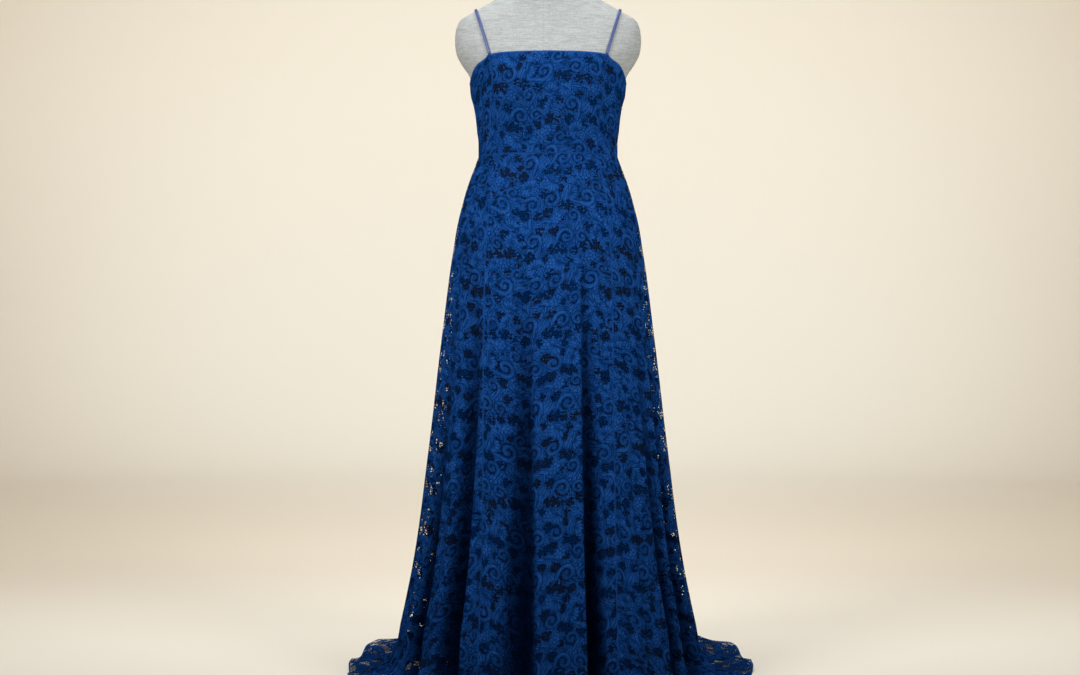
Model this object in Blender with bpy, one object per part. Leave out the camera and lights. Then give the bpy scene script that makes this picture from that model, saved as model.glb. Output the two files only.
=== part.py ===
"""Maxi dress of lace over a dark lining, on a limbless dress form.

Metres, +Z up. The origin is on the floor under the form's pole. The front faces -Y
and the wearer's left is +X. A turn is an angle round the body in degrees: 0 at the
centre front, 90 at the +X side, 180 at the centre back, negative towards -X.
"""
import math
from collections import namedtuple

import bpy
import numpy as np

# Cloth and seams
LACE = 0.0012
LINING = 0.0010
SEAM_GAP = 0.0003
LAYER_GAP = 0.0005
FORM_GAP = 0.0020
LACE_LIFT = FORM_GAP + LINING + LAYER_GAP + LACE

# Small steps along a surface, from which its slope is found
TURN_STEP = 0.4
HEIGHT_STEP = 0.001
ROW_STEP = 0.1

# Heights
WAIST = 1.0905
KNEE = 0.60
FLOOR_BEND = 0.12

# Straps
STRAP_WIDTH = 0.006
STRAP_THICK = 0.002
STRAP_FRONT_X = 0.119
STRAP_SHOULDER_X = 0.1495
STRAP_BACK_X = 0.105
STRAP_BACK_TURN = 145
STRAP_GAP = 0.0008
STRAP_STEPS = 11
SHOULDER_SLOPE = (1.36, 1.42)

# The form's stand
FORM_FOOT = 0.800
NECK_TOP = 1.497
CAP_RADIUS = 0.058
CAP_HEIGHT = 0.010
POLE_RADIUS = 0.014
HUB_RADIUS = 0.032
HUB_TOP = 0.050
BASE_RADIUS = 0.170
BASE_EDGE = 0.008
BASE_HEIGHT = 0.016
FORM_SIDES = 36

# The bust of the form, which swells forward at two rounded points
BUST_SWELL = 0.010
BUST_X = 0.082
BUST_HEIGHT = 1.228
BUST_WIDE = 0.050
BUST_TALL = 0.048

Section = namedtuple("Section", "height half_width front back square")
FORM = [
    Section(0.8000, 0.1552, 0.1052, 0.1112, 1.00),
    Section(0.8060, 0.1632, 0.1112, 0.1182, 1.00),
    Section(0.8250, 0.1682, 0.1152, 0.1232, 1.00),
    Section(0.8800, 0.1722, 0.1182, 0.1282, 1.00),
    Section(0.9430, 0.1717, 0.1172, 0.1277, 1.00),
    Section(0.9930, 0.1672, 0.1132, 0.1242, 1.00),
    Section(1.0430, 0.1557, 0.1037, 0.1112, 1.00),
    Section(1.0680, 0.1472, 0.0972, 0.0997, 1.00),
    Section(1.0905, 0.1403, 0.0912, 0.0897, 1.00),
    Section(1.1180, 0.1403, 0.0907, 0.0872, 1.00),
    Section(1.1430, 0.1432, 0.0932, 0.0882, 1.00),
    Section(1.1680, 0.1457, 0.0972, 0.0907, 1.00),
    Section(1.1930, 0.1497, 0.1012, 0.0937, 1.00),
    Section(1.2180, 0.1562, 0.1042, 0.0967, 1.00),
    Section(1.2430, 0.1590, 0.1047, 0.0987, 1.00),
    Section(1.2600, 0.1646, 0.1031, 0.1001, 0.98),
    Section(1.2850, 0.1810, 0.0970, 0.1000, 0.94),
    Section(1.3080, 0.1915, 0.0890, 0.0980, 0.90),
    Section(1.3300, 0.1940, 0.0810, 0.0950, 0.88),
    Section(1.3520, 0.1925, 0.0730, 0.0900, 0.88),
    Section(1.3740, 0.1840, 0.0650, 0.0830, 0.90),
    Section(1.3930, 0.1530, 0.0590, 0.0750, 0.94),
    Section(1.4175, 0.1120, 0.0540, 0.0680, 0.98),
    Section(1.4380, 0.0770, 0.0520, 0.0630, 1.00),
    Section(1.4550, 0.0610, 0.0515, 0.0600, 1.00),
    Section(1.4970, 0.0550, 0.0500, 0.0570, 1.00),
]

# The lace skirt's outer line: the crests of its folds touch this shape
Hang = namedtuple("Hang", "height half_width front back")
SKIRT = [
    Hang(1.0905, 0.1450, 0.0959, 0.0944),
    Hang(1.0680, 0.1533, 0.1030, 0.1060),
    Hang(1.0430, 0.1627, 0.1110, 0.1190),
    Hang(1.0180, 0.1710, 0.1180, 0.1290),
    Hang(0.9930, 0.1780, 0.1235, 0.1360),
    Hang(0.9430, 0.1900, 0.1340, 0.1480),
    Hang(0.8930, 0.1980, 0.1420, 0.1580),
    Hang(0.8430, 0.2055, 0.1500, 0.1690),
    Hang(0.7430, 0.2180, 0.1650, 0.1890),
    Hang(0.6420, 0.2305, 0.1820, 0.2100),
    Hang(0.5420, 0.2420, 0.1990, 0.2320),
    Hang(0.4420, 0.2545, 0.2160, 0.2560),
    Hang(0.3420, 0.2670, 0.2330, 0.2800),
    Hang(0.2420, 0.2827, 0.2510, 0.3060),
    Hang(0.1800, 0.2950, 0.2620, 0.3240),
    Hang(0.1200, 0.3080, 0.2730, 0.3430),
]
SKIRT_ROWS = (
    1.0905, 1.066, 1.040, 1.010, 0.970, 0.925, 0.870,
    0.790, 0.690, 0.570, 0.440, 0.310, 0.200, 0.120,
)

# Below FLOOR_BEND the lace turns out on the floor: how far along its reach each row
# lies, how high a fold's crest and a trough stand there, and how deep troughs still are
Spread = namedtuple("Spread", "along crest trough depth")
TRAIN_ROWS = [
    Spread(0.08, 0.074, 0.056, 0.95),
    Spread(0.23, 0.043, 0.0125, 0.82),
    Spread(0.47, 0.029, 0.0012, 0.55),
    Spread(0.74, 0.020, 0.0012, 0.32),
    Spread(1.00, 0.0120, 0.0012, 0.14),
]

# How far the lace reaches along the floor beyond its hanging line
Reach = namedtuple("Reach", "turn length")
TRAIN = [
    Reach(-180, 0.370),
    Reach(-160, 0.345),
    Reach(-145, 0.295),
    Reach(-120, 0.180),
    Reach(-105, 0.137),
    Reach(-90, 0.110),
    Reach(-62, 0.075),
    Reach(-35, 0.042),
    Reach(0, 0.035),
    Reach(35, 0.042),
    Reach(62, 0.075),
    Reach(90, 0.117),
    Reach(105, 0.150),
    Reach(120, 0.196),
    Reach(145, 0.315),
    Reach(160, 0.355),
    Reach(180, 0.370),
]

# The main folds: the turn of each trough at the waist, knee and floor, where it
# starts, its depth at the floor, and its spread in degrees to either side
Fold = namedtuple("Fold", "waist knee floor starts depth before after")
FOLDS = [
    Fold(-173, -170, -168, 0.93, 0.052, 11.0, 12.0),
    Fold(-148, -147, -146, 0.88, 0.036, 9.0, 10.0),
    Fold(-124, -123, -122, 0.94, 0.050, 10.0, 11.0),
    Fold(-102, -101, -100, 0.84, 0.034, 9.0, 9.0),
    Fold(-67, -61, -61.0, 0.86, 0.022, 7.0, 8.0),
    Fold(-50, -41, -42.0, 0.90, 0.046, 10.0, 9.5),
    Fold(-15, -13, -12.0, 0.80, 0.032, 12.0, 11.0),
    Fold(22, 19, 17.0, 0.93, 0.060, 6.0, 8.5),
    Fold(57, 55, 55.0, 0.92, 0.022, 4.5, 6.0),
    Fold(70, 69, 68.0, 0.82, 0.046, 7.0, 8.0),
    Fold(98, 98, 97.0, 0.86, 0.032, 9.0, 9.0),
    Fold(121, 121, 120.0, 0.90, 0.042, 10.0, 10.0),
    Fold(144, 143, 142.0, 0.94, 0.054, 11.0, 11.0),
    Fold(168, 166, 165.0, 0.88, 0.040, 10.0, 9.0),
]
FOLD_GROWTH = 1.15
FOLD_STEPS = (-1.0, -0.62, -0.3, 0.0, 0.3, 0.62, 1.0)
NARROWEST_STEP = 2.0
WIDEST_STEP = 8.5

# The side-front seam's turn at the top edge, bust, waist, knee and floor
Seam = namedtuple("Seam", "top bust waist knee floor")
SIDE_FRONT = Seam(38.0, 45.0, 44.0, 33.5, 26.4)
SIDE = 90
CENTRE_BACK = 180

# The lining skirt's outer line
LINING_SKIRT = [
    Hang(1.0905, 0.1433, 0.0942, 0.0927),
    Hang(1.0430, 0.1606, 0.1089, 0.1168),
    Hang(0.9930, 0.1750, 0.1210, 0.1330),
    Hang(0.9430, 0.1855, 0.1300, 0.1440),
    Hang(0.8430, 0.1935, 0.1405, 0.1560),
    Hang(0.7430, 0.2000, 0.1470, 0.1650),
    Hang(0.5420, 0.2130, 0.1640, 0.1890),
    Hang(0.3420, 0.2310, 0.1810, 0.2200),
    Hang(0.1420, 0.2560, 0.1990, 0.2560),
    Hang(0.0350, 0.2690, 0.2080, 0.2720),
]
LINING_SEAM = 50
LINING_STEP = 9.3

# The bodice's top edge: its height round the body
Edge = namedtuple("Edge", "turn height")
TOP_EDGE = [
    Edge(0, 1.2985),
    Edge(22, 1.2972),
    Edge(38, 1.2932),
    Edge(44, 1.2841),
    Edge(54, 1.2749),
    Edge(64, 1.2646),
    Edge(73, 1.2541),
    Edge(82, 1.2455),
    Edge(90, 1.2420),
    Edge(112, 1.2375),
    Edge(145, 1.2385),
    Edge(180, 1.2400),
]
BODICE_ROWS = (0.0, 0.18, 0.36, 0.52, 0.65, 0.77, 0.88, 1.0)
BODICE_STEP = 9.3

Finish = namedtuple("Finish", "colour roughness metallic")
LACE_BLUE = Finish((0.012, 0.075, 0.33), 0.62, 0.0)
LINING_NAVY = Finish((0.006, 0.010, 0.028), 0.45, 0.0)
STRAP_BLUE = Finish((0.075, 0.110, 0.36), 0.40, 0.0)
FORM_GREY = Finish((0.56, 0.58, 0.58), 0.85, 0.0)
CAP_WOOD = Finish((0.45, 0.42, 0.38), 0.5, 0.0)
STEEL = Finish((0.55, 0.55, 0.56), 0.3, 1.0)


def smooth_curve(xs, ys):
    """A smooth curve through points that never swings past them."""
    xs = np.asarray(xs, float)
    ys = np.asarray(ys, float)
    step = np.diff(xs)
    slope = np.diff(ys) / step
    tangent = np.zeros_like(ys)
    one_way = slope[:-1] * slope[1:] > 0
    near = 2 * step[1:] + step[:-1]
    far = step[1:] + 2 * step[:-1]
    product = slope[:-1] * slope[1:]
    blend = near * slope[1:] + far * slope[:-1]
    tangent[1:-1] = np.where(one_way, (near + far) * product / np.where(one_way, blend, 1), 0)
    tangent[0] = slope[0]
    tangent[-1] = slope[-1]

    def at(x):
        x = np.clip(x, xs[0], xs[-1])
        i = np.clip(np.searchsorted(xs, x, side="right") - 1, 0, len(step) - 1)
        t = (x - xs[i]) / step[i]
        rise = ys[i] * (1 + 2 * t) * (1 - t) ** 2 + ys[i + 1] * t * t * (3 - 2 * t)
        bend = step[i] * (tangent[i] * t * (1 - t) ** 2 - tangent[i + 1] * t * t * (1 - t))
        return rise + bend

    return at


def columns_of(rows, key):
    """One smooth curve for each named column of a table, read at its key."""
    rows = sorted(rows, key=lambda row: getattr(row, key))
    keys = [getattr(row, key) for row in rows]
    names = [name for name in rows[0]._fields if name != key]
    return {name: smooth_curve(keys, [getattr(row, name) for row in rows]) for name in names}


form_line = columns_of(FORM, "height")
skirt_line = columns_of(SKIRT, "height")
lining_line = columns_of(LINING_SKIRT, "height")
train_reach = columns_of(TRAIN, "turn")["length"]
top_edge = columns_of(TOP_EDGE, "turn")["height"]


def from_front(turn):
    """A turn's size, 0 at the centre front to 180 at the centre back."""
    return np.abs((np.asarray(turn, float) + 180) % 360 - 180)


def oval(half_width, front, back, turn):
    """Points of a body section, deeper or flatter in front than behind."""
    angle = np.radians(turn)
    depth = np.where(np.cos(angle) > 0, front, back)
    return half_width * np.sin(angle), -depth * np.cos(angle)


def form_point(height, turn):
    """The form's surface at a height and turn."""
    square = form_line["square"](height)
    angle = np.radians(turn)
    sine = np.sign(np.sin(angle)) * np.abs(np.sin(angle)) ** square
    cosine = np.sign(np.cos(angle)) * np.abs(np.cos(angle)) ** square
    depth = np.where(cosine > 0, form_line["front"](height), form_line["back"](height))
    x = form_line["half_width"](height) * sine
    y = -depth * cosine
    level = np.exp(-(((height - BUST_HEIGHT) / BUST_TALL) ** 2))
    swell = np.exp(-(((np.abs(x) - BUST_X) / BUST_WIDE) ** 2)) * level
    return np.stack([x, y - BUST_SWELL * swell * np.clip(cosine * 2, 0, 1), height + 0 * x], axis=-1)


def outward(round_step, up_step):
    """Unit normals from small steps towards +X round the body and up it."""
    normal = np.cross(round_step, up_step)
    return normal / np.linalg.norm(normal, axis=-1, keepdims=True)


def form_normal(height, turn):
    round_step = form_point(height, turn + TURN_STEP) - form_point(height, turn - TURN_STEP)
    up_step = form_point(height + HEIGHT_STEP, turn) - form_point(height - HEIGHT_STEP, turn)
    return outward(round_step, up_step)


def lifted(height, turn, lift):
    """The form's surface moved out by a cloth's lift."""
    return form_point(height, turn) + lift * form_normal(height, turn)


def hang_turn(line, height):
    """The turn, at any height of the skirt, of a fold or seam that has named turns."""
    return np.interp(height, [FLOOR_BEND, KNEE, WAIST], [line.floor, line.knee, line.waist])


def trough(turn, height):
    """How far into a trough a point is, 0 on a crest to 1, and its depth there."""
    share = np.zeros_like(turn, dtype=float)
    depth = np.zeros_like(share)
    for fold in FOLDS:
        off = (turn - hang_turn(fold, height) + 180) % 360 - 180
        spread = np.where(off < 0, fold.before, fold.after)
        dip = np.cos(np.clip(off / spread, -1, 1) * math.pi / 2) ** 2
        grown = np.clip((fold.starts - height) / (fold.starts - FLOOR_BEND), 0, 1) ** FOLD_GROWTH
        share = share + dip * grown
        depth = depth + dip * grown * fold.depth
    return np.clip(share, 0, 1), depth


def train_curves():
    """How the skirt spreads in each row below the last hanging one."""
    rows = [Spread(0.0, FLOOR_BEND, FLOOR_BEND, 1.0)] + TRAIN_ROWS
    steps = range(len(rows))
    return {name: smooth_curve(steps, [getattr(row, name) for row in rows]) for name in Spread._fields}


train_curve = train_curves()
row_height = smooth_curve(range(len(SKIRT_ROWS)), SKIRT_ROWS)
LAST_HANGING = len(SKIRT_ROWS) - 1
LAST_ROW = LAST_HANGING + len(TRAIN_ROWS)


def skirt_point(turn, row):
    """The lace skirt's outer surface: rows run from the waist to the hem."""
    turn = np.asarray(turn, float)
    row = np.asarray(row, float) + 0 * turn
    on_floor = np.clip(row - LAST_HANGING, 0, None)
    height = np.where(on_floor > 0, FLOOR_BEND, row_height(row))
    half = skirt_line["half_width"](height)
    front = skirt_line["front"](height)
    back = skirt_line["back"](height)
    x, y = oval(half, front, back, turn)
    angle = np.radians(turn)
    depth_here = np.where(np.cos(angle) > 0, front, back)
    out_x = np.sin(angle) / half
    out_y = -np.cos(angle) / depth_here
    length = np.hypot(out_x, out_y)
    out_x, out_y = out_x / length, out_y / length
    share, depth = trough(turn, height)
    reach = train_reach((turn + 180) % 360 - 180)
    move = reach * train_curve["along"](on_floor) - depth * train_curve["depth"](on_floor)
    crest = train_curve["crest"](on_floor)
    low = train_curve["trough"](on_floor)
    z = np.where(on_floor > 0, crest + (low - crest) * share, height)
    return np.stack([x + out_x * move, y + out_y * move, z], axis=-1)


def skirt_wall(turn, row):
    """The lace skirt's outer and inner points; the inner ones never pass the floor."""
    outer = skirt_point(turn, row)
    round_step = skirt_point(turn + TURN_STEP, row) - skirt_point(turn - TURN_STEP, row)
    below = np.minimum(row + ROW_STEP, LAST_ROW)
    above = np.maximum(row - ROW_STEP, 0)
    inner = outer - LACE * outward(round_step, skirt_point(turn, above) - skirt_point(turn, below))
    inner[..., 2] = np.where(row == 0, WAIST, np.clip(inner[..., 2], 0, None))
    return outer, inner


def fill_turns(turns, widest):
    """Adds evenly spaced turns wherever two neighbours are further apart than widest."""
    filled = []
    for a, b in zip(turns, turns[1:]):
        steps = max(1, math.ceil((b - a) / widest))
        filled += [a + (b - a) * i / steps for i in range(steps)]
    return filled + [turns[-1]]


def skirt_columns(start, end):
    """The turns of a panel's columns at the floor, following the folds in it."""
    marks = [start, end]
    for fold in FOLDS:
        for step in FOLD_STEPS:
            at = fold.floor + step * (fold.before if step < 0 else fold.after)
            at = (at + 180) % 360 - 180
            if start + NARROWEST_STEP < at < end - NARROWEST_STEP:
                marks.append(at)
    kept = [start]
    for mark in sorted(marks)[1:]:
        if mark - kept[-1] > NARROWEST_STEP:
            kept.append(mark)
    kept[-1] = end
    return fill_turns(kept, WIDEST_STEP)


def track(floor_turn, height):
    """The turn at any height of a column, which the seams and folds beside it carry."""
    lines = [SIDE_FRONT] + FOLDS
    knots = [(line.floor, line.knee, line.waist) for line in lines]
    knots += [tuple(-turn for turn in knots[0])]
    knots += [(turn, turn, turn) for turn in (-CENTRE_BACK, -SIDE, 0, SIDE, CENTRE_BACK)]
    floors, knees, waists = (np.array(turns) for turns in zip(*sorted(knots)))
    knee = np.interp(floor_turn, floors, knees)
    waist = np.interp(floor_turn, floors, waists)
    low = floor_turn + (knee - floor_turn) * (height - FLOOR_BEND) / (KNEE - FLOOR_BEND)
    high = knee + (waist - knee) * (height - KNEE) / (WAIST - KNEE)
    return np.where(height < KNEE, low, high)


def part_seams(turn, half_width):
    """Draws a panel's first and last columns back by half a seam gap each."""
    nudge = np.degrees(SEAM_GAP / 2 / half_width).reshape(-1)
    turn[:, 0] += nudge
    turn[:, -1] -= nudge


def material(name, finish):
    shade = bpy.data.materials.new(name)
    shade.use_nodes = True
    principled = shade.node_tree.nodes["Principled BSDF"]
    principled.inputs["Base Color"].default_value = (*finish.colour, 1)
    principled.inputs["Roughness"].default_value = finish.roughness
    principled.inputs["Metallic"].default_value = finish.metallic
    shade.diffuse_color = (*finish.colour, 1)
    return shade


def add_object(name, points, faces, finish):
    mesh = bpy.data.meshes.new(name)
    mesh.from_pydata([tuple(map(float, p)) for p in points], [], faces)
    mesh.validate()
    mesh.shade_smooth()
    mesh.set_sharp_from_angle(angle=math.radians(40))
    piece = bpy.data.objects.new(name, mesh)
    piece.data.materials.append(material(name, finish))
    bpy.context.scene.collection.objects.link(piece)
    return piece


def add_wall(name, outer, inner, finish):
    """A closed wall between two grids of points, whose rows run up and columns to +X."""
    rows, columns = outer.shape[:2]
    count = rows * columns
    faces = []
    for r in range(rows - 1):
        for c in range(columns - 1):
            a = r * columns + c
            b, d, e = a + 1, a + columns + 1, a + columns
            faces.append((a, b, d, e))
            faces.append((count + a, count + e, count + d, count + b))
    for c in range(columns - 1):
        low, high = c, (rows - 1) * columns + c
        faces.append((low, count + low, count + low + 1, low + 1))
        faces.append((high, high + 1, count + high + 1, count + high))
    for r in range(rows - 1):
        left, right = r * columns, r * columns + columns - 1
        faces.append((left, left + columns, count + left + columns, count + left))
        faces.append((right, count + right, count + right + columns, right + columns))
    return add_object(name, np.concatenate([outer.reshape(-1, 3), inner.reshape(-1, 3)]), faces, finish)


def add_rings(name, rings, finish):
    """A closed body through rings of points, from its foot up, closed by flat ends."""
    sides = len(rings[0])
    points = np.concatenate(rings)
    faces = [tuple(reversed(range(sides)))]
    for r in range(len(rings) - 1):
        for c in range(sides):
            a = r * sides + c
            b = r * sides + (c + 1) % sides
            faces.append((a, b, b + sides, a + sides))
    top = (len(rings) - 1) * sides
    faces.append(tuple(range(top, top + sides)))
    return add_object(name, points, faces, finish)


def turned(profile, sides):
    """Rings of a turned shape from (radius, height) pairs, foot first."""
    angles = np.arange(sides) * 2 * math.pi / sides
    return [np.stack([r * np.cos(angles), r * np.sin(angles), z + 0 * angles], axis=-1) for r, z in profile]


def build_form():
    """The torso with its neck and rounded shoulder ends, on a pole and a round base."""
    turns = np.arange(FORM_SIDES) * 360 / FORM_SIDES
    heights = [row.height for row in FORM]
    add_rings("form_torso", [form_point(np.full(FORM_SIDES, z), turns) for z in heights], FORM_GREY)

    cap_foot = NECK_TOP + SEAM_GAP
    cap_profile = [
        (CAP_RADIUS, cap_foot),
        (CAP_RADIUS + 0.002, cap_foot + 0.002),
        (CAP_RADIUS + 0.002, cap_foot + CAP_HEIGHT - 0.003),
        (CAP_RADIUS - 0.002, cap_foot + CAP_HEIGHT),
    ]
    cap = add_rings("form_neck_cap", turned(cap_profile, 32), CAP_WOOD)
    cap.location = (0, (FORM[-1].back - FORM[-1].front) / 2, 0)

    pole_profile = [(POLE_RADIUS, HUB_TOP + SEAM_GAP), (POLE_RADIUS, FORM_FOOT - SEAM_GAP)]
    add_rings("form_pole", turned(pole_profile, 20), STEEL)

    base_profile = [
        (BASE_RADIUS - 0.002, 0),
        (BASE_RADIUS, 0.002),
        (BASE_RADIUS, BASE_EDGE),
        (BASE_RADIUS - 0.012, BASE_HEIGHT - 0.002),
        (HUB_RADIUS + 0.030, BASE_HEIGHT + 0.004),
        (HUB_RADIUS, BASE_HEIGHT + 0.014),
        (HUB_RADIUS - 0.006, HUB_TOP),
    ]
    add_rings("form_base", turned(base_profile, 32), STEEL)


def panel_turns(name, front):
    """The turns between which each lace panel lies; front is the side-front seam's."""
    return {
        name + "_side_front_right": (-SIDE, -front),
        name + "_centre_front": (-front, front),
        name + "_side_front_left": (front, SIDE),
        name + "_back_left": (SIDE, CENTRE_BACK),
        name + "_back_right": (-CENTRE_BACK, -SIDE),
    }


def bodice_turns(start, end):
    """Turns of a panel's columns at the waist; a lining shares those of the lace over it."""
    seams = [turn for turn in (-SIDE_FRONT.waist, SIDE_FRONT.waist) if start < turn < end]
    return np.array(fill_turns([start, *seams, end], BODICE_STEP))


def bodice_track(turn, height):
    """The turn at any height of a column: in front it follows the side-front seam."""
    heights = [WAIST, BUST_HEIGHT, TOP_EDGE[0].height]
    seam = smooth_curve(heights, [SIDE_FRONT.waist, SIDE_FRONT.bust, SIDE_FRONT.top])(height)
    size = np.abs(turn)
    centre = size / SIDE_FRONT.waist * seam
    side = seam + (size - SIDE_FRONT.waist) / (SIDE - SIDE_FRONT.waist) * (SIDE - seam)
    return np.sign(turn) * np.where(size <= SIDE_FRONT.waist, centre, np.where(size <= SIDE, side, size))


def bodice_grid(start, end, lift):
    """Points of a bodice panel between two seams, its rows from waist to top edge."""
    rows = np.array(BODICE_ROWS)[:, None]
    foot = WAIST + SEAM_GAP
    columns = bodice_turns(start, end)[None, :] + 0 * rows
    turn = columns
    for _ in range(4):
        height = foot + (top_edge(from_front(turn)) - foot) * rows
        turn = bodice_track(columns, height)
    part_seams(turn, form_line["half_width"](height[:, 0]))
    points = lifted(height, turn, lift)
    points[..., 2] = height
    return points


def build_bodice():
    """Lace panels over a lining, both cut off at one straight neckline."""
    for name, (start, end) in panel_turns("bodice", SIDE_FRONT.waist).items():
        outer = bodice_grid(start, end, LACE_LIFT)
        inner = bodice_grid(start, end, LACE_LIFT - LACE)
        add_wall(name, outer, inner, LACE_BLUE)
    for name, (start, end) in {"front": (-SIDE, SIDE), "back": (SIDE, 360 - SIDE)}.items():
        outer = bodice_grid(start, end, FORM_GAP + LINING)
        inner = bodice_grid(start, end, FORM_GAP)
        add_wall("bodice_lining_" + name, outer, inner, LINING_NAVY)


def build_skirt():
    """Five gores of lace, from the waist seam down to the hem on the floor."""
    rows = np.arange(LAST_ROW, -1, -1.0)[:, None]
    height = row_height(np.minimum(rows, LAST_HANGING))
    for name, (start, end) in panel_turns("skirt", SIDE_FRONT.floor).items():
        turn = track(np.array(skirt_columns(start, end))[None, :], height)
        part_seams(turn, skirt_line["half_width"](height))
        outer, inner = skirt_wall(turn, rows + 0 * turn)
        add_wall(name, outer, inner, LACE_BLUE)


def build_skirt_lining():
    """A plain flared lining of four panels that hangs inside the lace, off the floor."""
    rows = np.array([row.height for row in LINING_SKIRT[::-1]])[:, None]
    back_seam = 180 - LINING_SEAM
    panels = {
        "front": (-LINING_SEAM, LINING_SEAM),
        "side_left": (LINING_SEAM, back_seam),
        "side_right": (-back_seam, -LINING_SEAM),
        "back": (back_seam, 360 - back_seam),
    }
    for name, (start, end) in panels.items():
        turn = np.array(fill_turns([start, end], LINING_STEP))[None, :] + 0 * rows
        part_seams(turn, lining_line["half_width"](rows))
        walls = []
        for inset in (0, LINING):
            half = lining_line["half_width"](rows) - inset
            x, y = oval(half, lining_line["front"](rows) - inset, lining_line["back"](rows) - inset, turn)
            walls.append(np.stack([x, y, rows + 0 * x], axis=-1))
        add_wall("skirt_lining_" + name, walls[0], walls[1], LINING_NAVY)


def turn_at(x, height, in_front):
    """The turn, in size, at which the form is x wide at a height."""
    ratio = np.clip(np.abs(x) / form_line["half_width"](height), 0, 1)
    turn = np.degrees(np.arcsin(ratio ** (1 / form_line["square"](height))))
    return np.where(in_front, turn, 180 - turn)


def strap_route(side):
    """Points under a strap's middle, over the shoulder, with the form's normals."""
    low_front = float(top_edge(SIDE_FRONT.top)) + STRAP_GAP
    low_back = float(top_edge(STRAP_BACK_TURN)) + STRAP_GAP
    heights = np.linspace(*SHOULDER_SLOPE, 601)
    widths = form_line["half_width"](heights)
    ridge = float(heights[np.argmin(np.abs(widths - STRAP_SHOULDER_X))])
    points, normals = [], []
    legs = [(low_front, STRAP_FRONT_X, 1), (low_back, STRAP_BACK_X, -1)]
    for low, low_x, facing in legs:
        rise = np.sin(np.linspace(0, math.pi / 2, STRAP_STEPS))
        if facing < 0:
            rise = rise[::-1][1:]
        height = low + (ridge - low) * rise
        x = low_x + (STRAP_SHOULDER_X - low_x) * rise
        turn = side * turn_at(x, height, facing > 0)
        points.append(form_point(height, turn))
        normals.append(form_normal(height, turn))
    return np.concatenate(points), np.concatenate(normals)


def seat_on_edge(ring):
    """Trims a strap's end so that it stands just clear of the bodice's top edge."""
    ring[:, 2] = top_edge(turn_at(ring[:, 0], ring[:, 2], ring[:, 1] < 0)) + STRAP_GAP


def build_straps():
    """Narrow flat straps from the neckline over the shoulders to the back edge."""
    for name, side in {"strap_left": 1, "strap_right": -1}.items():
        route, normal = strap_route(side)
        along = np.gradient(route, axis=0)
        along /= np.linalg.norm(along, axis=1, keepdims=True)
        across = np.cross(normal, along)
        across /= np.linalg.norm(across, axis=1, keepdims=True)
        foot = route + normal * FORM_GAP
        corners = [(-1, 0), (1, 0), (1, 1), (-1, 1)]
        rings = [
            np.stack([
                foot[i] + across[i] * w * STRAP_WIDTH / 2 + normal[i] * h * STRAP_THICK for w, h in corners
            ])
            for i in range(len(route))
        ]
        seat_on_edge(rings[0])
        seat_on_edge(rings[-1])
        add_rings(name, rings, STRAP_BLUE)


def main():
    for old in list(bpy.data.objects):
        bpy.data.objects.remove(old)
    build_form()
    build_bodice()
    build_skirt()
    build_skirt_lining()
    build_straps()


main()
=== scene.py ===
"""Looks of the maxi dress: blue lace over a dark lining, on a limbless dress form.

Metres, +Z up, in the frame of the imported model. The front faces -Y and the wearer's
left is +X. A turn is an angle round the body in degrees: 0 at the centre front, 90 at
the +X side, 180 at the centre back.
"""
import math
from collections import namedtuple

import bpy
import numpy as np
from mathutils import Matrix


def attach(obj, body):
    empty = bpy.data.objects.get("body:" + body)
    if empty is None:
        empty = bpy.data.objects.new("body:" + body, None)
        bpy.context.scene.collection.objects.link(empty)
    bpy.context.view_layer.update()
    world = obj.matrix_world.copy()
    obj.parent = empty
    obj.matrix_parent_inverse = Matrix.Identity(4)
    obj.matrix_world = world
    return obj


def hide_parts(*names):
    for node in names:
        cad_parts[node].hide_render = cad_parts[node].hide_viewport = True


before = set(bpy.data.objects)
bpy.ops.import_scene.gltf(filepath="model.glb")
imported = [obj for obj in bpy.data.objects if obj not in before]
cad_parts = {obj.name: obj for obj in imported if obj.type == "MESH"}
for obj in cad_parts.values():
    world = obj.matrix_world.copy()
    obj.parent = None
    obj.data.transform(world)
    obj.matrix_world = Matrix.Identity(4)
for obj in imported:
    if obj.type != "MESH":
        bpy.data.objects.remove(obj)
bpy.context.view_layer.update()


def table(columns, rows):
    """The rows of a table with named columns."""
    kind = namedtuple("Row", columns)
    return [kind(*row) for row in rows]


# Cloth
LACE = 0.0012
LINING = 0.0010
SEAM_GAP = 0.0003
LAYER_GAP = 0.0005
FORM_GAP = 0.0020
LACE_LIFT = FORM_GAP + LINING + LAYER_GAP + LACE

# Small steps along a surface, from which its slope is found
TURN_STEP = 0.4
HEIGHT_STEP = 0.001

# Heights at which the folds and seams have named turns
WAIST = 1.0905
KNEE = 0.60
FLOOR_BEND = 0.12

# Straps
STRAP_WIDTH = 0.006
STRAP_THICK = 0.002
STRAP_FRONT_X = 0.119
STRAP_SHOULDER_X = 0.1495
STRAP_BACK_X = 0.105
STRAP_BACK_TURN = 145
STRAP_GAP = 0.0008
STRAP_STEPS = 60
STRAP_CORNERS = 12
STRAP_ROUNDNESS = 0.5
SHOULDER_SLOPE = (1.36, 1.42)

# The bust of the form, which swells forward at two rounded points
BUST_SWELL = 0.010
BUST_X = 0.082
BUST_HEIGHT = 1.228
BUST_WIDE = 0.050
BUST_TALL = 0.048

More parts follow.
